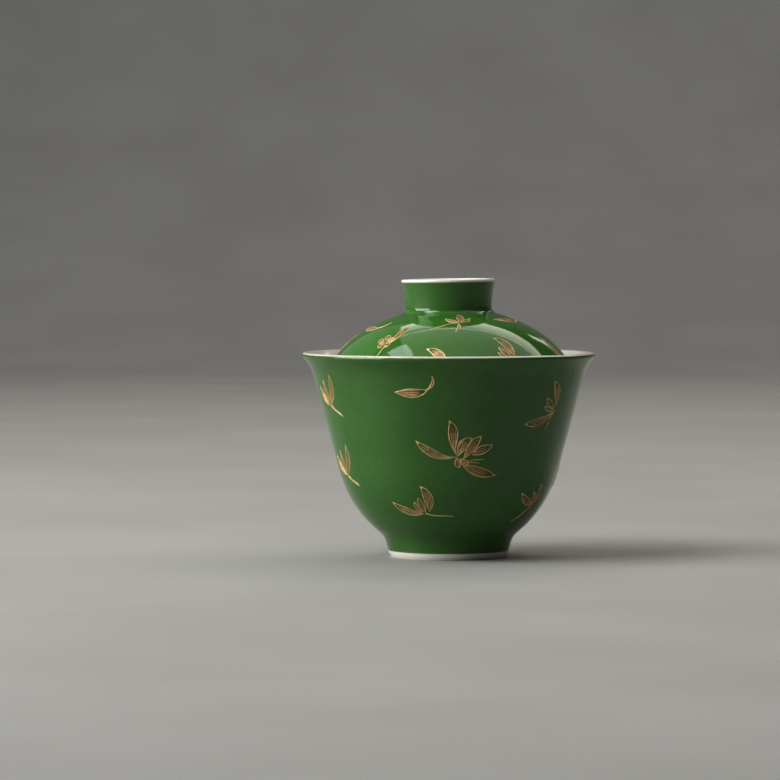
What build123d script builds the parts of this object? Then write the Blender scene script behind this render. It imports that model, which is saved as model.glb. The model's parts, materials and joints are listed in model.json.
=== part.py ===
from build123d import *
import os
from math import atan2, cos, degrees, radians, sin

# A gaiwan: a flared porcelain tea bowl on a foot ring, with a loose domed lid whose knob is a
# hollow ring. White porcelain under an outer coat of green glaze, gilded with sprays of petals.
# Millimetres. Origin at the centre of the foot ring's base, +Z up, -Y towards the large flower.

# ---- Bowl --------------------------------------------------------------------------------------
RIM_R = 46.0                # widest radius, on the rounded lip
BOWL_H = 64.07              # crest of the lip
LIP_R = 0.9                 # rounding of the lip
LIP_LEAN = 43.0             # degrees from level at which the flare runs into the lip
FLARE_Z = 56.8              # the straight wall turns outwards here
BELLY_TOP = (34.3, 27.0)    # the straight wall meets the round belly (r, z)
WALL_SLOPE = 0.273          # widening of the straight wall per unit of height
BELLY_DROP = 13.15          # length along the wall's line over which the belly bends away from it
KNEE = (20.15, 6.4)         # belly and foot would meet here in a sharp corner
KNEE_FILLET = 6.0
FOOT_EDGE = (18.72, 1.0)    # outer edge of the foot, above its bevel
FOOT_BASE_R = 18.15         # outer radius of the face that the bowl stands on
FOOT_BASE_IN_R = 16.5       # its inner radius
FOOT_WELL = (15.9, 5.1)     # radius and height of the hollow inside the foot ring
FOOT_WELL_FILLET = 1.2
WALL = 2.4                  # thickness of the straight wall
BELLY_WALL = 2.7            # thickness at the belly
FLOOR = (10.0, 9.4)         # radius and height of the flat floor inside the bowl
FLOOR_REACH = 12.5          # length over which the floor bends up into the belly
GLAZE_LOW = 2.0             # the foot is bare white below this height
GLAZE_HIGH = 63.6           # the lip is bare white above this height

# ---- Lid: heights are measured from its seat, the level of its widest edge -----------------------
SEAT = (0.3, 0.0, 57.1)     # centre of the lid's edge as it lies in the bowl's flare
SEAT_TILT = 0.8             # degrees; the lid lies a little higher on its +X side
LID_R = 39.55               # widest radius
LID_EDGE_R = 0.95           # rounding of its edge
EDGE_LEAN = 62.0            # degrees from level at which the dome rises from the edge
DOME_TOP = (13.45, 19.6)    # the dome meets the knob (r, height)
DOME_TOP_LEAN = 16.5        # degrees from level at which it does
DOME_REACH = 12.3           # length of the dome's curve that each end's direction governs
KNOB_WAIST = (13.5, 21.9)
KNOB_R = 15.05
KNOB_H = 29.95
KNOB_FILLET = 1.9           # hollow curve between dome and knob
CREST_FILLET = 0.6
KNOB_IN_R = 13.0            # mouth of the hollow in the knob
KNOB_WELL = (10.6, 20.4)    # radius and height of its floor
KNOB_WELL_FILLET = 2.0
CROWN = (0.0, 17.8)         # top of the hollow under the dome
CROWN_REACH = (15.5, 13.0)  # lengths that govern its curve at the crown and at the edge
LID_GLAZE_LOW = 0.9
LID_GLAZE_HIGH = 29.05      # the knob's crest is bare white above this height

# ---- Coats: each lies between an outline and the same outline moved by (radius, height) ----------
BOWL_GLAZE = (-0.24, 0.12)  # about 0.25 mm of glaze
LID_GLAZE = (-0.2, -0.2)
BOWL_GILDING = (0.1, -0.05) # about 0.1 mm of gilding, lying on the glaze
LID_GILDING = (0.08, 0.08)
STAND_OFF = 4.0             # a spray is drawn this far outside the surface
PRISM = 11.0                # and its outlines are pushed this far in, through the surface


def polar(centre, radius, angle):
    """The point at an angle, in degrees, on a circle in the (r, z) plane."""
    return (centre[0] + radius * cos(radians(angle)), centre[1] + radius * sin(radians(angle)))


def heading(angle):
    """The unit direction at an angle in degrees."""
    return polar((0, 0), 1, angle)


def soften(line, corner, radius):
    """Round the corner at the point corner of the line being drawn."""
    fillet(line.vertices().sort_by_distance((*corner, 0))[0], radius)


# ---- Points of the sections, worked out from the dimensions --------------------------------------
WALL_ANGLE = degrees(atan2(1, WALL_SLOPE))
BELLY_CORNER = polar(BELLY_TOP, -BELLY_DROP, WALL_ANGLE)
FLARE = (BELLY_TOP[0] + WALL_SLOPE * (FLARE_Z - BELLY_TOP[1]), FLARE_Z)
LIP = (RIM_R - LIP_R, BOWL_H - LIP_R)
LIP_CREST = (LIP[0], BOWL_H)
LIP_OUT = polar(LIP, LIP_R, LIP_LEAN - 90)
LIP_IN = polar(LIP, LIP_R, LIP_LEAN + 90)
INNER_FLARE = polar(FLARE, -WALL, WALL_ANGLE - 90)
INNER_BELLY_TOP = polar(BELLY_TOP, -BELLY_WALL, WALL_ANGLE - 90)
INNER_BELLY_CORNER = polar(INNER_BELLY_TOP, -BELLY_DROP, WALL_ANGLE)

EDGE = (LID_R - LID_EDGE_R, 0.0)
EDGE_OUT = polar(EDGE, LID_EDGE_R, 90 - EDGE_LEAN)
EDGE_IN = polar(EDGE, LID_EDGE_R, 270 - EDGE_LEAN)
KNOB_MOUTH = (KNOB_IN_R, KNOB_H)
KNOB_CORNER = (KNOB_R, KNOB_H)

# ---- Half sections: radius along X, height along Y -------------------------------------------------
with BuildSketch() as bowl_outline:
    with BuildLine() as line:
        Polyline((0, 0), (FOOT_BASE_R, 0), FOOT_EDGE, KNEE)
        Bezier(KNEE, BELLY_CORNER, BELLY_TOP)
        Line(BELLY_TOP, FLARE)
        TangentArc(FLARE, LIP_OUT, tangent=heading(WALL_ANGLE))
        ThreePointArc(LIP_OUT, (RIM_R, LIP[1]), LIP_CREST)
        Polyline(LIP_CREST, (0, BOWL_H), (0, 0))
        soften(line, KNEE, KNEE_FILLET)
    make_face()

with BuildSketch() as bowl_hollow:
    with BuildLine():
        Polyline((0, FLOOR[1]), (0, BOWL_H), LIP_CREST)
        ThreePointArc(LIP_CREST, polar(LIP, LIP_R, (LIP_LEAN + 180) / 2), LIP_IN)
        TangentArc(INNER_FLARE, LIP_IN, tangent=heading(WALL_ANGLE))
        Line(INNER_FLARE, INNER_BELLY_TOP)
        Bezier(INNER_BELLY_TOP, INNER_BELLY_CORNER, (FLOOR[0] + FLOOR_REACH, FLOOR[1]), FLOOR)
        Line(FLOOR, (0, FLOOR[1]))
    make_face()

with BuildSketch() as foot_well:
    with BuildLine() as line:
        Polyline((0, 0), (FOOT_BASE_IN_R, 0), FOOT_WELL, (0, FOOT_WELL[1]), close=True)
        soften(line, FOOT_WELL, FOOT_WELL_FILLET)
    make_face()

with BuildSketch() as lid_outline:
    with BuildLine() as line:
        ThreePointArc(EDGE_IN, polar(EDGE, LID_EDGE_R, -EDGE_LEAN), EDGE_OUT)
        low_handle = polar(EDGE_OUT, DOME_REACH, 180 - EDGE_LEAN)
        top_handle = polar(DOME_TOP, DOME_REACH, -DOME_TOP_LEAN)
        Bezier(EDGE_OUT, low_handle, top_handle, DOME_TOP)
        ThreePointArc(DOME_TOP, KNOB_WAIST, KNOB_CORNER)
        Polyline(KNOB_CORNER, (0, KNOB_H), (0, EDGE_IN[1]), EDGE_IN)
        soften(line, DOME_TOP, KNOB_FILLET)
        soften(line, KNOB_CORNER, CREST_FILLET)
    make_face()

with BuildSketch() as lid_hollow:
    with BuildLine():
        Polyline(EDGE_IN, (0, EDGE_IN[1]), CROWN)
        edge_handle = polar(EDGE_IN, CROWN_REACH[1], 180 - EDGE_LEAN)
        Bezier(CROWN, (CROWN_REACH[0], CROWN[1]), edge_handle, EDGE_IN)
    make_face()

with BuildSketch() as knob_hollow:
    with BuildLine() as line:
        Polyline((0, KNOB_H), KNOB_MOUTH, KNOB_WELL, (0, KNOB_WELL[1]), close=True)
        soften(line, KNOB_WELL, KNOB_WELL_FILLET)
    make_face()

# ---- The lid's own frame, tilted as it lies in the bowl -------------------------------------------
lean = radians(SEAT_TILT)
lid_frame = Plane(origin=SEAT, x_dir=(cos(lean), 0, sin(lean)), z_dir=(-sin(lean), 0, cos(lean)))
lid_section = Plane(origin=SEAT, x_dir=lid_frame.x_dir, z_dir=-lid_frame.y_dir)
lid_axis = Axis(lid_frame.origin, lid_frame.z_dir)


def coat(outline, outer, inner, low, high):
    """Draw a coat's section, between the outline moved to two places and between two heights."""
    with Locations(outer):
        add(outline)
    with Locations(inner):
        add(outline, mode=Mode.SUBTRACT)
    with Locations((0, low)):
        Rectangle(RIM_R + 1, high - low, align=Align.MIN, mode=Mode.INTERSECT)


# ---- Green glaze and porcelain of the bowl ---------------------------------------------------------
with BuildPart() as bowl_green_glaze:
    with BuildSketch(Plane.XZ):
        coat(bowl_outline.sketch, (0, 0), BOWL_GLAZE, GLAZE_LOW, GLAZE_HIGH)
    revolve(axis=Axis.Z)

with BuildPart() as bowl_body:
    with BuildSketch(Plane.XZ):
        add(bowl_outline.sketch)
        add(bowl_hollow.sketch, mode=Mode.SUBTRACT)
        add(foot_well.sketch, mode=Mode.SUBTRACT)
    revolve(axis=Axis.Z)
    add(bowl_green_glaze.part, mode=Mode.SUBTRACT)

# ---- Green glaze and porcelain of the lid ----------------------------------------------------------
with BuildPart() as lid_green_glaze:
    with BuildSketch(lid_section):
        coat(lid_outline.sketch, (0, 0), LID_GLAZE, LID_GLAZE_LOW, LID_GLAZE_HIGH)
    revolve(axis=lid_axis)

with BuildPart() as lid_body:
    with BuildSketch(lid_section) as section:
        add(lid_outline.sketch)
        add(lid_hollow.sketch, mode=Mode.SUBTRACT)
        add(knob_hollow.sketch, mode=Mode.SUBTRACT)
        soften(section, KNOB_MOUTH, CREST_FILLET)
    revolve(axis=lid_axis)
    add(lid_green_glaze.part, mode=Mode.SUBTRACT)


# ---- Gilding: sprays of petals, drawn on planes that touch the surface ----------------------------
def petal(x, y, angle, length, width, bend=0.0):
    """Draw a petal from its base at (x, y); a positive bend bows it to its left."""
    base = Vector(x, y)
    along = Vector(*heading(angle))
    side = Vector(*heading(angle + 90))
    tip = base + along * length
    middle = (base + tip) / 2 + side * bend
    with BuildLine() as outline:
        ThreePointArc(base, middle + side * width / 2, tip)
        ThreePointArc(tip, middle - side * width / 2, base)
    make_face(outline.edges())


def flower():
    """The large open flower: two long leaves and a close cluster of petals about a small heart."""
    petal(-0.2, 0.1, 161, 13.0, 2.4, 1.5)
    petal(0.0, 0.3, 101, 11.5, 2.7, 0.4)
    petal(0.3, 0.3, 54, 7.0, 3.0, 0.8)
    petal(4.6, 0.4, 23, 6.8, 2.6, 0.3)
    petal(1.6, -0.9, 50, 9.3, 2.7, 0.4)
    petal(0.3, -0.8, 334, 13.0, 2.9, -1.0)
    petal(2.2, -1.7, 8, 6.2, 0.4, 0.5)
    petal(0.0, 0.0, 283, 3.4, 1.8, -0.4)
    petal(0.5, -0.5, 312, 3.6, 1.7, 0.5)


def single_leaf():
    """One leaf lying on its side, with a tail that curls up."""
    petal(-6.0, -0.8, 5, 10.6, 2.8, -0.8)
    petal(4.2, 0.0, 60, 4.8, 0.9, -0.7)


def open_spray():
    """Three upright petals and a short curled stem."""
    petal(-0.9, 0.0, 132, 7.8, 2.2, 0.7)
    petal(0.5, 0.0, 72, 10.2, 2.7, -0.8)
    petal(-0.2, 0.0, 101, 8.0, 2.3, 0.3)
    petal(0.2, 0.1, 326, 7.0, 0.7, -0.5)


def bud_spray():
    """A long petal to the left, a tall one, two small ones between them and a wavy stem."""
    petal(-0.2, -0.2, 165, 10.2, 2.5, 1.1)
    petal(1.5, 0.5, 101, 8.9, 3.0, -1.2)
    petal(0.3, 0.3, 109, 5.4, 2.0, 0.2)
    petal(-1.0, 0.1, 118, 4.1, 1.7, 0.2)
    petal(0.3, -0.1, 345, 8.8, 0.6, -0.6)


def hanging_spray():
    """A tall petal, two small ones and a long one that hangs down to the left, with a stem."""
    petal(0.2, 0.8, 112, 8.6, 2.7, -1.0)
    petal(-0.4, 0.3, 146, 5.6, 2.1, 0.4)
    petal(-0.5, -0.2, 170, 4.8, 1.8, 0.3)
    petal(-0.3, -0.7, 201, 12.4, 2.5, 1.1)
    petal(0.2, -0.4, 244, 7.4, 0.5, -0.5)


def small_spray():
    """Two small upright petals, a longer one to the left and a stem that hangs."""
    petal(0.2, 0.4, 94, 6.0, 2.1, -0.4)
    petal(-0.2, 0.3, 124, 4.8, 1.7, 0.3)
    petal(-0.4, 0.0, 157, 9.0, 2.3, 0.9)
    petal(0.0, -0.4, 226, 9.4, 0.5, -0.6)


def round_spray():
    """A small round flower with one leaf rising beside it and a short stem."""
    petal(-2.8, -0.3, 6, 5.6, 5.0, 0.0)
    petal(2.0, -1.0, 84, 9.6, 2.4, -0.6)
    petal(1.6, -1.6, 250, 5.0, 0.6, -0.5)


def crown_spray():
    """Three short petals fanned out, a long stem to the left and a small leaf below."""
    petal(0.1, 0.2, 84, 6.2, 2.3, -0.5)
    petal(-0.3, 0.1, 134, 4.8, 1.9, 0.3)
    petal(0.6, 0.0, 46, 4.6, 1.8, -0.4)
    petal(-0.4, -0.4, 250, 5.4, 1.1, 0.5)
    petal(-0.2, -0.2, 190, 9.4, 0.6, 0.6)


def east_of(direction):
    """The level direction to the right of someone looking at the surface from outside."""
    return Vector(0, 0, 1).cross(direction).normalized()


def spray_plane(glaze, source, direction, turn):
    """The plane touching the glaze where a line from source last leaves it, turned in itself."""
    point, normal = glaze.find_intersection_points(Axis(source, direction))[-1]
    if normal.dot(direction) < 0:
        normal = -normal
    return Plane(point + normal * STAND_OFF, east_of(normal), normal).rotated((0, 0, turn))


def bowl_plane(azimuth, height, turn):
    """A spray's plane on the bowl; azimuth runs from -Y towards +X."""
    direction = Vector(sin(radians(azimuth)), -cos(radians(azimuth)), 0)
    return spray_plane(bowl_green_glaze.part, Vector(0, 0, height), direction, turn)


def lid_plane(azimuth, elevation, turn):
    """A spray's plane on the lid, seen from the middle of the seat at an elevation."""
    level = cos(radians(elevation))
    direction = Vector(sin(radians(azimuth)) * level, -cos(radians(azimuth)) * level,
                       sin(radians(elevation)))
    return spray_plane(lid_green_glaze.part, Vector(*SEAT), direction, turn)


# Each spray and where it lies: azimuth, height and turn on the bowl.
BOWL_SPRAYS = (
    (flower, ((3.5, 33.1, 0), (182, 36, 24))),
    (single_leaf, ((-15.9, 53.7, 0), (148, 18, 30), (222, 52, -12), (92, 28, 200))),
    (open_spray, ((-66, 48, 0), (-67.5, 26.2, 0), (122, 34, -20), (236, 36, 14))),
    (bud_spray, ((-15.4, 15.5, 0), (202, 17, -10), (104, 53, 16), (262, 14, 8))),
    (hanging_spray, ((54.3, 47.4, 0), (150, 50, -24), (262, 54, 20))),
    (small_spray, ((59.5, 17.6, 0),)),
)

# Azimuth, elevation and turn on the lid.
LID_SPRAYS = (
    (round_spray, ((-40.5, 19.5, 0), (128, 34, 40), (214, 16, -14))),
    (open_spray, ((100, 12, 0), (178, 30, 24), (240, 12, 10))),
    (bud_spray, ((-4.5, 4.2, 30), (31, 9, 14), (150, 10, -12))),
    (crown_spray, ((7.2, 37.5, 6), (236, 33, 0))),
    (single_leaf, ((-74, 31, 0), (60, 41, -16), (72, 14, -70), (190, 8, 30), (262, 14, 70))),
)

# ---- Gilding on the bowl ---------------------------------------------------------------------------
with BuildPart() as bowl_gilding:
    for draw_spray, places in BOWL_SPRAYS:
        with BuildSketch(*[bowl_plane(*place) for place in places]):
            draw_spray()
        extrude(amount=-PRISM)
    with BuildSketch(Plane.XZ):
        coat(bowl_outline.sketch, BOWL_GILDING, (0, 0), GLAZE_LOW, GLAZE_HIGH)
    revolve(axis=Axis.Z, mode=Mode.INTERSECT)

# ---- Gilding on the lid ----------------------------------------------------------------------------
with BuildPart() as lid_gilding:
    for draw_spray, places in LID_SPRAYS:
        with BuildSketch(*[lid_plane(*place) for place in places]):
            draw_spray()
        extrude(amount=-PRISM)
    with BuildSketch(lid_section):
        coat(lid_outline.sketch, LID_GILDING, (0, 0), LID_GLAZE_LOW, LID_GLAZE_HIGH)
    revolve(axis=lid_axis, mode=Mode.INTERSECT)

# ---- Files -----------------------------------------------------------------------------------------
bowl_body.part.label = "bowl_body"
bowl_green_glaze.part.label = "bowl_green_glaze"
bowl_gilding.part.label = "bowl_gilding"
lid_body.part.label = "lid_body"
lid_green_glaze.part.label = "lid_green_glaze"
lid_gilding.part.label = "lid_gilding"

os.makedirs("parts", exist_ok=True)
for piece in (bowl_body, bowl_green_glaze, bowl_gilding, lid_body, lid_green_glaze, lid_gilding):
    export_step(piece.part, f"parts/{piece.part.label}.step")
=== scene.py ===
import json
import math
import random

import bmesh
import bpy
from mathutils import Matrix, Quaternion, Vector
from mathutils.bvhtree import BVHTree


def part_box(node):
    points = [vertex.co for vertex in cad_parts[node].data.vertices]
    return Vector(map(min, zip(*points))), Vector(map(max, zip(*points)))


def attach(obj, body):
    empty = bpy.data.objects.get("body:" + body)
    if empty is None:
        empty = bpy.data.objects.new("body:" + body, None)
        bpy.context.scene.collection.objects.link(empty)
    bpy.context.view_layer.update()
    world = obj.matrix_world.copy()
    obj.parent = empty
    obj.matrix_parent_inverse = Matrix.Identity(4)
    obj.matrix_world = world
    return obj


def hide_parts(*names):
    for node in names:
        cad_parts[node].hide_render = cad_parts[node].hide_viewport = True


# A porcelain gaiwan. The CAD bodies and glaze coats stay as they are and get glazed materials;
# the plain gilding solids are replaced by drawn sprays: petals with outlines, veins and stems.
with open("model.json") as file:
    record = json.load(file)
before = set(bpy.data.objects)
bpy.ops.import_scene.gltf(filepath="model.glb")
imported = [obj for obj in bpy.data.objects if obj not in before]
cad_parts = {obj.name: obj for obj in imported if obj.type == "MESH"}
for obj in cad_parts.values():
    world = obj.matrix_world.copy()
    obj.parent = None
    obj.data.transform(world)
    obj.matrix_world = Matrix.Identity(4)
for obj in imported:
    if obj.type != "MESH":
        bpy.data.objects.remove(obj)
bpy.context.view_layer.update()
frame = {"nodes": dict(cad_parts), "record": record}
nodes = frame["nodes"]

# ---- Places (metres) -----------------------------------------------------------------------------
MM = 0.001
glaze_low, glaze_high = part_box("bowl_green_glaze")
knob_mount = next(m for m in frame["record"]["mounts"] if m["name"] == "knob_crest")
LID_AXIS = Vector(knob_mount["axis"])
LID_SEAT = Vector((0.3, 0.0, 57.1)) * MM        # middle of the lid's edge
LID_GLAZE_ENDS = (0.9, 29.05)                   # millimetres above the seat, along the lid's axis


# ---- Materials -----------------------------------------------------------------------------------
class Nodes:
    """A small helper that adds nodes to a material and links them."""

    def __init__(self, name):
        self.material = bpy.data.materials.new(name)
        self.material.use_nodes = True
        self.tree = self.material.node_tree
        self.shader = self.tree.nodes["Principled BSDF"]

    def add(self, kind, **settings):
        """Add a node; each setting is one of its properties or one of its inputs."""
        node = self.tree.nodes.new(kind)
        for key, value in settings.items():
            if hasattr(node, key):
                setattr(node, key, value)
            else:
                node.inputs[key.replace("_", " ")].default_value = value
        return node

    def link(self, source, target):
        self.tree.links.new(source, target)

    def number(self, operation, first, second):
        """A math node on two sockets or numbers."""
        node = self.add("ShaderNodeMath", operation=operation)
        for socket, value in zip(node.inputs, (first, second)):
            if isinstance(value, (int, float)):
                socket.default_value = value
            else:
                self.link(value, socket)
        return node.outputs[0]

    def ramp(self, source, *stops):
        """A colour ramp with stops of (position, grey or colour)."""
        node = self.add("ShaderNodeValToRGB")
        node.color_ramp.interpolation = "EASE"
        for element, (position, colour) in zip(node.color_ramp.elements, stops):
            element.position = position
            grey = isinstance(colour, (int, float))
            element.color = (colour, colour, colour, 1) if grey else (*colour, 1)
        self.link(source, node.inputs[0])
        return node.outputs[0]

    def mix(self, factor, first, second, blend="MIX"):
        """A colour mix of sockets or colours."""
        node = self.add("ShaderNodeMix", data_type="RGBA", blend_type=blend)
        if isinstance(factor, (int, float)):
            node.inputs[0].default_value = factor
        else:
            self.link(factor, node.inputs[0])
        for socket, value in ((node.inputs[6], first), (node.inputs[7], second)):
            if isinstance(value, tuple):
                socket.default_value = (*value, 1)
            else:
                self.link(value, socket)
        return node.outputs[2]

    def noise(self, place, scale, detail=2.0, roughness=0.5):
        node = self.add("ShaderNodeTexNoise", Scale=scale, Detail=detail, Roughness=roughness)
        self.link(place, node.inputs["Vector"])
        return node.outputs["Fac"]

    def specks(self, place, scale, size):
        """Round dots in one cell out of five: 1 inside a dot, 0 elsewhere."""
        cells = self.add("ShaderNodeTexVoronoi", Scale=scale)
        self.link(place, cells.inputs["Vector"])
        draw = self.add("ShaderNodeSeparateColor")
        self.link(cells.outputs["Color"], draw.inputs[0])
        chosen = self.number("GREATER_THAN", draw.outputs["Red"], 0.8)
        dot = self.ramp(cells.outputs["Distance"], (0.0, 1.0), (size, 0.0))
        return self.number("MULTIPLY", dot, chosen)

    def bump(self, height, strength, distance, normal=None):
        node = self.add("ShaderNodeBump", Strength=strength, Distance=distance)
        self.link(height, node.inputs["Height"])
        if normal is not None:
            self.link(normal, node.inputs["Normal"])
        return node.outputs["Normal"]

    def place(self):
        return self.add("ShaderNodeTexCoord").outputs["Object"]

    def height(self, place, origin=(0.0, 0.0, 0.0), axis=(0.0, 0.0, 1.0)):
        """Height of the point above an origin, along an axis, in millimetres."""
        shifted = self.add("ShaderNodeVectorMath", operation="SUBTRACT")
        self.link(place, shifted.inputs[0])
        shifted.inputs[1].default_value = origin
        along = self.add("ShaderNodeVectorMath", operation="DOT_PRODUCT")
        self.link(shifted.outputs["Vector"], along.inputs[0])
        along.inputs[1].default_value = axis
        return self.number("MULTIPLY", along.outputs["Value"], 1 / MM)

    def between(self, value, low, high):
        """0 below low and 1 above high, or the other way round where high is the lower."""
        node = self.add("ShaderNodeMapRange", clamp=True, interpolation_type="SMOOTHSTEP")
        self.link(value, node.inputs["Value"])
        node.inputs["From Min"].default_value = low
        node.inputs["From Max"].default_value = high
        return node.outputs["Result"]


GLAZE_IOR = 1.5
GREEN = ((0.036, 0.122, 0.018), (0.042, 0.136, 0.022))      # the darker and the lighter clouds
GREEN_GRAIN = ((0.01, 0.04, 0.006), (0.07, 0.19, 0.05))
THIN_GREEN = (0.15, 0.17, 0.07)
GREEN_SPECK = (0.24, 0.33, 0.2)
WHITE = ((0.80, 0.79, 0.735), (0.85, 0.84, 0.785))
WHITE_SPECK = (0.35, 0.27, 0.18)
BARE_CLAY = (0.62, 0.56, 0.46)


def toned(colour, tone):
    return tuple(tone * channel for channel in colour)


def green_glaze(name, origin, axis, ends, tone):
    """Glossy deep green glaze, thin and olive at its two ends; tone lightens or darkens it."""
    low_end, high_end = ends
    n = Nodes(name)
    place = n.place()
    height = n.height(place, origin, axis)
    cloud = n.noise(place, 55, detail=4, roughness=0.55)
    fine = n.noise(place, 520, detail=3, roughness=0.6)
    green = n.ramp(cloud, (0.3, toned(GREEN[0], tone)), (0.7, toned(GREEN[1], tone)))
    green = n.mix(0.07, green, n.ramp(fine, (0.35, GREEN_GRAIN[0]), (0.65, GREEN_GRAIN[1])))
    wander = n.number("MULTIPLY", n.noise(place, 240, detail=3), 0.5)
    ragged = n.number("ADD", height, wander)
    thin_top = n.between(ragged, high_end - 0.3, high_end + 0.45)
    thin_low = n.between(ragged, low_end + 0.85, low_end + 0.15)
    colour = n.mix(n.number("MAXIMUM", thin_top, thin_low), green, THIN_GREEN)
    dots = n.specks(place, 330, size=0.09)
    colour = n.mix(n.number("MULTIPLY", dots, 0.55), colour, GREEN_SPECK)
    n.link(colour, n.shader.inputs["Base Color"])
    n.link(n.ramp(fine, (0.3, 0.045), (0.7, 0.075)), n.shader.inputs["Roughness"])
    waves = n.bump(n.noise(place, 60, detail=1, roughness=0.4), strength=0.35, distance=0.0004)
    peel = n.bump(n.noise(place, 900), strength=0.10, distance=0.00006, normal=waves)
    pits = n.bump(n.number("SUBTRACT", 1.0, dots), strength=0.3, distance=0.0001, normal=peel)
    n.link(pits, n.shader.inputs["Normal"])
    n.shader.inputs["IOR"].default_value = GLAZE_IOR
    return n.material


def white_porcelain(name, tone, painted_shade_tint):
    """White porcelain under clear glaze, bare and matt where the foot meets the table.

    Above the foot its colour is multiplied by a tint: painted shade that makes the white darker and
    warmer."""
    n = Nodes(name)
    place = n.place()
    height = n.height(place)
    cloud = n.noise(place, 70, detail=3)
    white = n.ramp(cloud, (0.3, toned(WHITE[0], tone)), (0.7, toned(WHITE[1], tone)))
    # Painted shade: above the foot the white is darkened and warmed by the tint.
    white = n.mix(n.between(height, 4.0, 9.0), white, n.mix(1.0, white, painted_shade_tint, "MULTIPLY"))
    dots = n.specks(place, 260, size=0.05)
    white = n.mix(n.number("MULTIPLY", dots, 0.35), white, WHITE_SPECK)
    bare = n.between(height, 0.35, 0.1)
    white = n.mix(bare, white, BARE_CLAY)
    n.link(white, n.shader.inputs["Base Color"])
    n.link(n.ramp(bare, (0.0, 0.12), (1.0, 0.7)), n.shader.inputs["Roughness"])
    waves = n.bump(n.noise(place, 60, detail=1, roughness=0.4), strength=0.25, distance=0.0004)
    peel = n.bump(n.noise(place, 800), strength=0.08, distance=0.00006, normal=waves)
    n.link(peel, n.shader.inputs["Normal"])
    n.shader.inputs["IOR"].default_value = GLAZE_IOR
    n.shader.inputs["Subsurface Weight"].default_value = 0.08
    n.shader.inputs["Subsurface Radius"].default_value = (0.004, 0.003, 0.002)
    n.shader.inputs["Subsurface Scale"].default_value = 0.3
    return n.material


def gilt(name, dark, light, roughness):
    """Soft burnished gold enamel, thicker and thinner from brush stroke to brush stroke."""
    n = Nodes(name)
    place = n.place()
    cloud = n.noise(place, 420, detail=4, roughness=0.6)
    grain = n.noise(place, 2600, roughness=0.6)
    colour = n.ramp(cloud, (0.32, dark), (0.66, light))
    colour = n.mix(0.18, colour, n.ramp(grain, (0.35, (0.08, 0.05, 0.02)), (0.65, light)))
    n.link(colour, n.shader.inputs["Base Color"])
    satin = n.ramp(cloud, (0.3, roughness + 0.12), (0.7, roughness - 0.06))
    n.link(satin, n.shader.inputs["Roughness"])
    n.link(n.bump(grain, strength=0.35, distance=0.00005), n.shader.inputs["Normal"])
    n.shader.inputs["Metallic"].default_value = 0.5
    n.shader.inputs["Specular IOR Level"].default_value = 0.6
    return n.material


def dress(node, material):
    """Put one material on every slot of a CAD node."""
    mesh = nodes[node].data
    if not mesh.materials:
        mesh.materials.append(material)
    for index in range(len(mesh.materials)):
        mesh.materials[index] = material


# The bowl's white is darker and warmer than the lid's: painted shade, for the shade its rim and
# inside lie in.
dress("bowl_body", white_porcelain("bowl_white", 0.9, (0.85, 0.81, 0.77)))
dress("lid_body", white_porcelain("lid_white", 0.92, (1.0, 0.975, 0.965)))
dress("bowl_green_glaze", green_glaze("bowl_green", (0, 0, 0), (0, 0, 1),
                                      (glaze_low.z / MM, glaze_high.z / MM), 1.0))
# Painted light: the lid's green is the bowl's glaze made 15% lighter, for the light its upward face
# catches.
dress("lid_green_glaze", green_glaze("lid_green", LID_SEAT, LID_AXIS, LID_GLAZE_ENDS, 1.15))


# ---- Gilding: sprays drawn in raised gold lines over a thin wash ---------------------------------
# A spray is drawn flat, in millimetres, on a plane that touches the glaze, and each point is then
# dropped onto the glaze along the plane's normal.
STAND_OFF = 4.0             # the drawing plane's distance from the glaze
REACH = 14.0                # how far a point may drop
STEEPEST = 0.25             # least cosine between the drop and the glaze's normal
SINK = 0.03                 # depth to which a stroke's sides reach into the glaze
# A stroke's section: places across it, and heights as parts of its own, None for its sunk sides.
PROFILES = {"lines": ((-1.0, None), (-0.72, 0.68), (0.0, 1.0), (0.72, 0.68), (1.0, None)),
            "wash": ((-1.0, None), (-0.86, 0.85), (0.0, 1.0), (0.86, 0.85), (1.0, None))}
OUTLINE, OUTLINE_HEIGHT = 0.35, 0.095
VEIN, VEIN_HEIGHT = 0.2, 0.075
HAIR = 0.26                 # width of the loose hairs of the large flower
TIP = 0.5                   # width of the stroke that closes a petal's tip
WASH_HEIGHT = 0.045
SLITS = (0.05, 0.2, 0.35, 0.5)      # parts of the space between two veins that may stay green


def unit(angle):
    return Vector((math.cos(math.radians(angle)), math.sin(math.radians(angle))))


def heading(azimuth, elevation=0.0):
    """The direction out from the axis; azimuth runs from -Y towards +X."""
    turn, rise = math.radians(azimuth), math.radians(elevation)
    return Vector((math.sin(turn) * math.cos(rise), -math.cos(turn) * math.cos(rise),
                   math.sin(rise)))


def bezier(points, t):
    """The point at t on a Bezier curve of any order."""
    while len(points) > 1:
        points = [a.lerp(b, t) for a, b in zip(points, points[1:])]
    return points[0]


def left_of(ahead):
    return Vector((-ahead.y, ahead.x)).normalized()


def steps(count, first=0.0, last=1.0):
    return [first + (last - first) * index / (count - 1) for index in range(count)]


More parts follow.
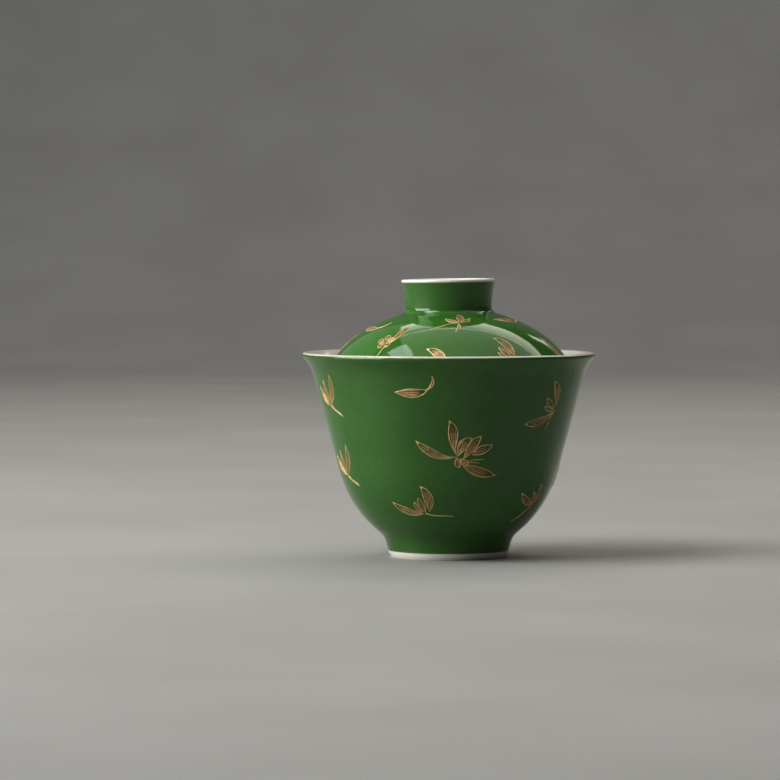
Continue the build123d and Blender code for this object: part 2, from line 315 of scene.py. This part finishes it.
class Gilder:
    """Draws closed strokes of gold on the glaze of one node."""

    def __init__(self, glaze, seed):
        self.glaze = BVHTree.FromObject(nodes[glaze], bpy.context.evaluated_depsgraph_get())
        self.hand = random.Random(seed)
        self.strokes = {"lines": ([], []), "wash": ([], [])}

    def aim(self, source, direction, turn):
        """Lay the drawing plane where a line from source last leaves the glaze."""
        outside = source + direction * 100 * MM
        point, normal, _, _ = self.glaze.ray_cast(outside, -direction)
        east = Vector((0, 0, 1)).cross(normal).normalized()
        spin = Matrix.Rotation(math.radians(turn), 3, normal)
        self.inward = -normal
        self.east = spin @ east
        self.north = spin @ normal.cross(east)
        self.origin = point + normal * STAND_OFF * MM

    def drop(self, flat, height):
        """A flat point laid on the glaze and lifted off it by a height, or None where it misses."""
        place = self.origin + (self.east * flat.x + self.north * flat.y) * MM
        point, normal, _, _ = self.glaze.ray_cast(place, self.inward, REACH * MM)
        if point is None or normal.dot(self.inward) > -STEEPEST:
            return None
        return point + normal * height * MM

    def stroke(self, kind, spine, half_widths, heights):
        """Add one closed stroke along a flat spine, shorter where the spine leaves the glaze."""
        profile = PROFILES[kind]
        vertices, faces = self.strokes[kind]
        rings = []
        for index, (middle, half, height) in enumerate(zip(spine, half_widths, heights)):
            left = left_of(spine[min(index + 1, len(spine) - 1)] - spine[max(index - 1, 0)])
            ring = [self.drop(middle + left * (across * half), -SINK if up is None else up * height)
                    for across, up in profile]
            if None in ring:
                break
            rings.append(ring)
        if len(rings) < 3:
            return
        first, size = len(vertices), len(profile)
        for ring in rings:
            vertices.extend(ring)
        for row in range(len(rings) - 1):
            a = first + row * size
            for k in range(size):
                m = (k + 1) % size
                faces.append((a + k, a + m, a + size + m, a + size + k))
        last = first + (len(rings) - 1) * size
        faces.append(tuple(range(first, first + size)))
        faces.append(tuple(range(last, last + size))[::-1])

    def line(self, points, width, height, start=0.5, end=0.3):
        """A line through flat points, a little uneven, that thins towards its two ends.

        It thins to start and end, as parts of its width, over its first 18% and last 25%."""
        phase = self.hand.uniform(0, 6)
        halves, heights = [], []
        for t in steps(len(points)):
            taper = min(1.0, start + (1 - start) * t / 0.18, end + (1 - end) * (1 - t) / 0.25)
            press = 1 + 0.16 * math.sin(phase + 5.5 * t) + self.hand.uniform(-0.07, 0.07)
            halves.append(width / 2 * taper * press)
            heights.append(height * (0.55 + 0.45 * taper))
        self.stroke("lines", points, halves, heights)

    def stem(self, x, y, angle, length, width=0.5, wave=0.6, curl=0.0):
        """A stem that waves once and thins to its end; curl turns its end to the left."""
        start, along = Vector((x, y)), unit(angle)
        side = Vector((-along.y, along.x))
        curve = [start,
                 start + along * length * 0.3 - side * wave * 1.6,
                 start + along * length * 0.65 + side * wave * 1.2,
                 start + along * length + side * curl]
        self.line([bezier(curve, t) for t in steps(22)], width, OUTLINE_HEIGHT, 0.8, 0.22)

    def petal(self, x, y, angle, length, width, bend=0.0, sway=0.0, belly=0.48, veins=3, curl=0.0):
        """A petal from its base: outlines that meet in a tip, veins between them, and a wash.

        A positive bend bows it to its left, a sway bows its lower half left and its upper half
        right, belly is where along it it is widest, and curl moves its tip to the left."""
        start, along = Vector((x, y)), unit(angle)
        side = Vector((-along.y, along.x))
        bow = bend * 4 / 3
        curve = [start,
                 start + along * length * 0.3 + side * (bow + sway),
                 start + along * length * 0.72 + side * (bow - sway),
                 start + along * length + side * curl]
        power = math.log(0.5) / math.log(belly)

        def point(t, across):
            """The point at t along the petal, across from -1 at its right edge to 1 at its left."""
            left = left_of(bezier(curve, min(t + 0.02, 1.0)) - bezier(curve, max(t - 0.02, 0.0)))
            ripe = min(t, 1.0) ** power         # 0.5 where the petal is widest
            fullness = 1.3 if ripe < 0.5 else 0.85      # a narrow neck and a round upper half
            half = (width - OUTLINE) / 2 * max(math.sin(math.pi * ripe), 0.0) ** fullness
            return bezier(curve, t) + left * (across * half)

        for edge in (-1, 1):
            outline = [point(t, edge) for t in steps(30)]
            self.line(outline, OUTLINE, OUTLINE_HEIGHT, 0.7, 0.8)
        tip = [point(t, 0) for t in steps(8, 0.9, 1.03)]
        self.line(tip, TIP, OUTLINE_HEIGHT, 0.3, 0.12)
        marks = [-1 + 2 * (k + 1) / (veins + 1) for k in range(veins)]
        for mark in marks:
            low = 0.10 + self.hand.uniform(0, 0.08)
            high = 0.86 - 0.16 * abs(mark) - self.hand.uniform(0, 0.1)
            drift = self.hand.uniform(-0.08, 0.08)
            vein = [point(t, mark + drift * math.sin(4 * t)) for t in steps(15, low, high)]
            self.line(vein, VEIN, VEIN_HEIGHT, 0.4, 0.3)
        self.wash(point, [-1, *marks, 1])

    def wash(self, point, marks):
        """A thin wash between the veins, which leaves a slit of green along some of them."""
        for right, left in zip(marks, marks[1:]):
            slit = self.hand.choice(SLITS)
            rows = steps(12, 0.06, self.hand.uniform(0.66, 0.94))
            middle, spread = (right + left) / 2, (left - right) / 2
            spine = [point(t, middle - spread * slit) for t in rows]
            halves = [max((point(t, left) - point(t, right)).length / 2 * (1 - slit), 0.02)
                      for t in rows]
            self.stroke("wash", spine, halves, [WASH_HEIGHT] * len(rows))

    def finish(self, name, kind, material, body, node):
        """Make one mesh piece of all strokes of a kind."""
        mesh = bpy.data.meshes.new(name)
        vertices, faces = self.strokes[kind]
        mesh.from_pydata(vertices, [], faces)
        work = bmesh.new()
        work.from_mesh(mesh)
        bmesh.ops.recalc_face_normals(work, faces=work.faces)
        work.to_mesh(mesh)
        work.free()
        mesh.materials.append(material)
        mesh.shade_smooth()
        piece = bpy.data.objects.new(name, mesh)
        bpy.context.collection.objects.link(piece)
        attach(piece, body)
        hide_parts(node)


def flower(g):
    """The large open flower: two long leaves, a close cluster of petals and two loose hairs."""
    g.petal(-0.2, 0.1, 161, 13.0, 2.6, 1.6, 0.5, 0.58)
    g.petal(0.0, 0.3, 101, 11.5, 3.1, 0.2, 1.3, 0.62, 3, 0.5)
    g.petal(0.3, 0.3, 54, 7.0, 3.2, 0.9, 0.0, 0.52, 4)
    g.petal(4.6, 0.4, 23, 6.8, 2.8, 0.3, 0.4, 0.48, 2, 0.4)
    g.petal(1.6, -0.9, 50, 9.3, 2.9, 0.4, -0.5, 0.56, 3, 0.4)
    g.petal(0.3, -0.8, 334, 13.0, 3.1, -1.0, -0.5, 0.56, 4)
    g.petal(0.0, 0.0, 283, 3.4, 1.9, -0.4, 0.0, 0.6, 1)
    g.petal(0.5, -0.5, 312, 3.6, 1.8, 0.5, 0.0, 0.6, 1)
    for points in (((2.2, -1.8), (4.4, -0.6), (8.6, -1.2)),
                   ((3.0, -1.9), (4.8, -1.6), (7.0, -2.2))):
        g.line([bezier([Vector(p) for p in points], t) for t in steps(16)], HAIR, VEIN_HEIGHT)


def single_leaf(g):
    """One leaf lying on its side, with a tail that curls up."""
    g.petal(-6.0, -0.8, 5, 10.6, 3.0, -0.7, 0.5, 0.5, 4)
    g.petal(4.2, 0.0, 60, 4.8, 1.0, -0.8, 0.0, 0.5, 0, 0.4)


def open_spray(g):
    """Three upright petals and a short curled stem."""
    g.petal(-0.9, 0.0, 132, 7.8, 2.3, 0.7, 0.3)
    g.petal(0.5, 0.0, 72, 10.2, 2.8, -0.8, 0.3, 0.5)
    g.petal(-0.2, 0.0, 101, 8.0, 2.4, 0.3, 0.3, 0.42)
    g.stem(0.2, 0.1, 326, 7.0, 0.85, 0.5, 0.3)


def bud_spray(g):
    """A long petal to the left, a tall one, two small ones between them and a wavy stem."""
    g.petal(-0.2, -0.2, 165, 10.2, 2.6, 1.1, 0.3, 0.5)
    g.petal(1.5, 0.5, 101, 8.9, 3.2, -1.2, 0.2, 0.5, 4, 0.2)
    g.petal(0.3, 0.3, 109, 5.4, 2.2, 0.2, 0.1, 0.42, 2)
    g.petal(-1.0, 0.1, 118, 4.1, 1.8, 0.2, 0.1, 0.42, 2)
    g.stem(0.3, -0.1, 345, 8.8, 0.6, 0.6, 0.3)


def hanging_spray(g):
    """A tall petal, two small ones and a long one that hangs down to the left, with a stem."""
    g.petal(0.2, 0.8, 112, 8.6, 2.9, -1.0, 0.2, 0.52, 3, 0.2)
    g.petal(-0.4, 0.3, 146, 5.6, 2.3, 0.4, 0.2, 0.46, 2)
    g.petal(-0.5, -0.2, 170, 4.8, 1.9, 0.3, 0.1, 0.46, 2)
    g.petal(-0.3, -0.7, 201, 12.4, 2.7, 1.1, 0.3, 0.56)
    g.stem(0.2, -0.4, 244, 7.4, 0.4, 0.5)


def small_spray(g):
    """Two small upright petals, a longer one to the left and a stem that hangs."""
    g.petal(0.2, 0.4, 94, 6.0, 2.3, -0.4, 0.1, 0.46, 2)
    g.petal(-0.2, 0.3, 124, 4.8, 1.8, 0.3, 0.1, 0.46, 1)
    g.petal(-0.4, 0.0, 157, 9.0, 2.5, 0.9, 0.2)
    g.stem(0.0, -0.4, 226, 9.4, 0.5, 0.6)


def round_spray(g):
    """A small round flower of curled petals with one leaf rising beside it and a short stem."""
    for angle in (98, 170, 242, 314, 26):
        base = unit(angle) * 0.45
        g.petal(base.x, base.y, angle, 2.6, 2.3, 0.15, 0.2, 0.6, 2)
    g.petal(2.0, -1.0, 84, 9.6, 2.6, -0.6, 0.5, 0.52)
    g.stem(1.6, -1.6, 250, 5.0, 0.5, 0.5)


def crown_spray(g):
    """Three short petals fanned out, a long stem to the left and a small leaf below."""
    g.petal(0.1, 0.2, 84, 6.2, 2.5, -0.5, 0.3)
    g.petal(-0.3, 0.1, 134, 4.8, 2.1, 0.3, 0.2, 0.46, 2)
    g.petal(0.6, 0.0, 46, 4.6, 1.9, -0.4, 0.2, 0.46, 2)
    g.petal(-0.4, -0.4, 250, 5.4, 1.2, 0.5, 0.2, 0.46, 1)
    g.stem(-0.2, -0.2, 190, 9.4, 0.5, 0.6)


# Each spray and where it lies: azimuth, height and turn on the bowl.
BOWL_SPRAYS = (
    (flower, ((3.5, 33.1, 0), (182, 36, 24))),
    (single_leaf, ((-15.9, 53.7, 0), (148, 18, 30), (222, 52, -12), (92, 28, 200))),
    (open_spray, ((-66, 48, 0), (-67.5, 26.2, 0), (122, 34, -20), (236, 36, 14))),
    (bud_spray, ((-15.4, 15.5, 0), (202, 17, -10), (104, 53, 16), (262, 14, 8))),
    (hanging_spray, ((54.3, 47.4, 0), (150, 50, -24), (262, 54, 20))),
    (small_spray, ((59.5, 17.6, 0),)),
)

# Azimuth, elevation from the middle of the seat, and turn on the lid.
LID_SPRAYS = (
    (round_spray, ((-40.5, 19.5, 0), (128, 34, 40), (214, 16, -14))),
    (open_spray, ((100, 12, 0), (178, 30, 24), (240, 12, 10))),
    (bud_spray, ((-4.5, 4.2, 30), (31, 9, 14), (150, 10, -12))),
    (crown_spray, ((7.2, 37.5, 6), (236, 33, 0))),
    (single_leaf, ((-74, 31, 0), (60, 41, -16), (72, 14, -70), (190, 8, 30), (262, 14, 70))),
)

gold_line = gilt("gilt_line", (0.54, 0.38, 0.16), (0.80, 0.60, 0.31), 0.44)
gold_wash = gilt("gilt_wash", (0.13, 0.072, 0.024), (0.25, 0.15, 0.052), 0.52)

bowl_gilder = Gilder("bowl_green_glaze", 11)
for draw_spray, places in BOWL_SPRAYS:
    for azimuth, height, turn in places:
        bowl_gilder.aim(Vector((0, 0, height * MM)), heading(azimuth), turn)
        draw_spray(bowl_gilder)

lid_gilder = Gilder("lid_green_glaze", 23)
for draw_spray, places in LID_SPRAYS:
    for azimuth, elevation, turn in places:
        lid_gilder.aim(LID_SEAT, heading(azimuth, elevation), turn)
        draw_spray(lid_gilder)

bowl_gilder.finish("bowl_gilt_lines", "lines", gold_line, "bowl", "bowl_gilding")
bowl_gilder.finish("bowl_gilt_wash", "wash", gold_wash, "bowl", "bowl_gilding")
lid_gilder.finish("lid_gilt_lines", "lines", gold_line, "lid", "lid_gilding")
lid_gilder.finish("lid_gilt_wash", "wash", gold_wash, "lid", "lid_gilding")


# ---- Camera --------------------------------------------------------------------------------------
CAMERA_PLACE = Vector((-18.4, -1287.0, 103.2)) * MM
CAMERA_DIP = 2.27           # degrees below level
CAMERA_LENS = 189.4         # millimetres on a 36 mm sensor

camera_data = bpy.data.cameras.new("camera")
camera_data.lens = CAMERA_LENS
camera_data.sensor_width = 36.0
camera_data.clip_start = 0.05
camera_data.clip_end = 20.0
camera = bpy.data.objects.new("camera", camera_data)
camera.location = CAMERA_PLACE
camera.rotation_euler = (math.radians(90 - CAMERA_DIP), 0, 0)
bpy.context.collection.objects.link(camera)
bpy.context.scene.camera = camera


# ---- Floor and backdrop --------------------------------------------------------------------------
PAPER = ((0.325, 0.318, 0.305), (0.355, 0.348, 0.335))


def studio_floor():
    """A pale sheet that runs level under the bowl and curves up far behind it."""
    n = Nodes("pale_floor")
    place = n.place()
    shade = n.ramp(n.noise(place, 9, detail=3), (0.3, PAPER[0]), (0.7, PAPER[1]))
    n.link(shade, n.shader.inputs["Base Color"])
    n.shader.inputs["Roughness"].default_value = 0.6
    n.link(n.bump(n.noise(place, 300), strength=0.08, distance=0.0002), n.shader.inputs["Normal"])
    half_width, near, bend_start, bend_radius, top = 3.0, -2.2, 1.6, 0.9, 2.6
    line = [(near, 0.0), (-0.5, 0.0), (0.5, 0.0)]
    line += [(bend_start + bend_radius * math.sin(a), bend_radius * (1 - math.cos(a)))
             for a in steps(13, 0.0, math.pi / 2)]
    line.append((bend_start + bend_radius, top))
    vertices = [(x, y, z) for y, z in line for x in (-half_width, half_width)]
    faces = [(2 * i, 2 * i + 1, 2 * i + 3, 2 * i + 2) for i in range(len(line) - 1)]
    mesh = bpy.data.meshes.new("studio_floor")
    mesh.from_pydata(vertices, [], faces)
    mesh.materials.append(n.material)
    mesh.shade_smooth()
    floor = bpy.data.objects.new("studio_floor", mesh)
    bpy.context.collection.objects.link(floor)


studio_floor()

# ---- Light (metres and watts) --------------------------------------------------------------------
MIDDLE = (0, 0, 0.045)      # the middle of the object, which a light faces unless told otherwise


def softbox(name, place, size, power, colour, aim=MIDDLE, turn=0.0, spread=180.0):
    """A rectangular soft light at a place, facing a point and turned in itself by some degrees.

    A spread of less than 180 degrees keeps its light off the floor beside it."""
    data = bpy.data.lights.new(name, "AREA")
    data.shape = "RECTANGLE"
    data.size, data.size_y = size
    data.energy = power
    data.color = colour
    data.spread = math.radians(spread)
    light = bpy.data.objects.new(name, data)
    light.location = place
    facing = (Vector(aim) - Vector(place)).to_track_quat("-Z", "Y")
    light.rotation_euler = (facing @ Quaternion((0, 0, 1), math.radians(turn))).to_euler()
    bpy.context.collection.objects.link(light)


softbox("window_left", (-1.20, -0.26, 0.45), (1.1, 0.62), 6.3, (1.0, 0.99, 0.96), spread=120.0)
softbox("window_upper", (-0.74, -0.36, 1.02), (0.72, 0.46), 7.5, (0.96, 0.98, 1.0))

# The overhead box is brighter and warmer towards its far edge: narrow strips lie just below it.
OVER_X, OVER_Y, OVER_Z = 0.302, 0.278, 1.06
OVER_WIDTH, OVER_DEPTH, OVER_TURN = 1.5, 1.45, -8.0
STRIPS, STRIP_DEPTH, STRIP_Z = 5, 0.075, 1.05
STRIP_POWER, STRIP_GAIN = 0.31, 0.36        # every strip's, and what the outermost has more

softbox("overhead", (OVER_X, OVER_Y, OVER_Z), (OVER_WIDTH, OVER_DEPTH), 5.8, (1.0, 0.98, 0.91),
        (OVER_X, OVER_Y, 0.0), OVER_TURN)
for step in range(STRIPS):
    away = OVER_DEPTH / 2 - (step + 0.5) * STRIP_DEPTH
    strip_x = OVER_X - away * math.sin(math.radians(OVER_TURN))
    strip_y = OVER_Y + away * math.cos(math.radians(OVER_TURN))
    softbox(f"overhead_edge_{step}", (strip_x, strip_y, STRIP_Z), (OVER_WIDTH, STRIP_DEPTH),
            STRIP_POWER + STRIP_GAIN * (1 - step / STRIPS), (1.0, 0.94, 0.80),
            (strip_x, strip_y, 0.0), OVER_TURN)

softbox("skylight", (-0.53, 0.06, 1.03), (0.26, 0.40), 1.2, (0.93, 0.97, 1.0), (-0.53, 0.06, 0.0))
softbox("wall_left", (-1.15, 1.45, 1.05), (1.5, 1.5), 1.6, (0.98, 1.0, 0.98))
softbox("rim_right", (0.66, 1.32, 0.72), (0.12, 0.42), 0.25, (1.0, 0.98, 0.94))
softbox("backdrop_wash", (0.0, 1.0, 1.7), (2.4, 0.5), 8.0, (0.98, 0.99, 1.0), (0.0, 2.5, 0.6))

world = bpy.data.worlds.new("studio")
world.use_nodes = True
background = world.node_tree.nodes["Background"]
background.inputs["Color"].default_value = (0.62, 0.65, 0.7, 1)
background.inputs["Strength"].default_value = 0.06
bpy.context.scene.world = world
bpy.context.scene.view_settings.view_transform = "Standard"
bpy.context.scene.view_settings.look = "Medium High Contrast"
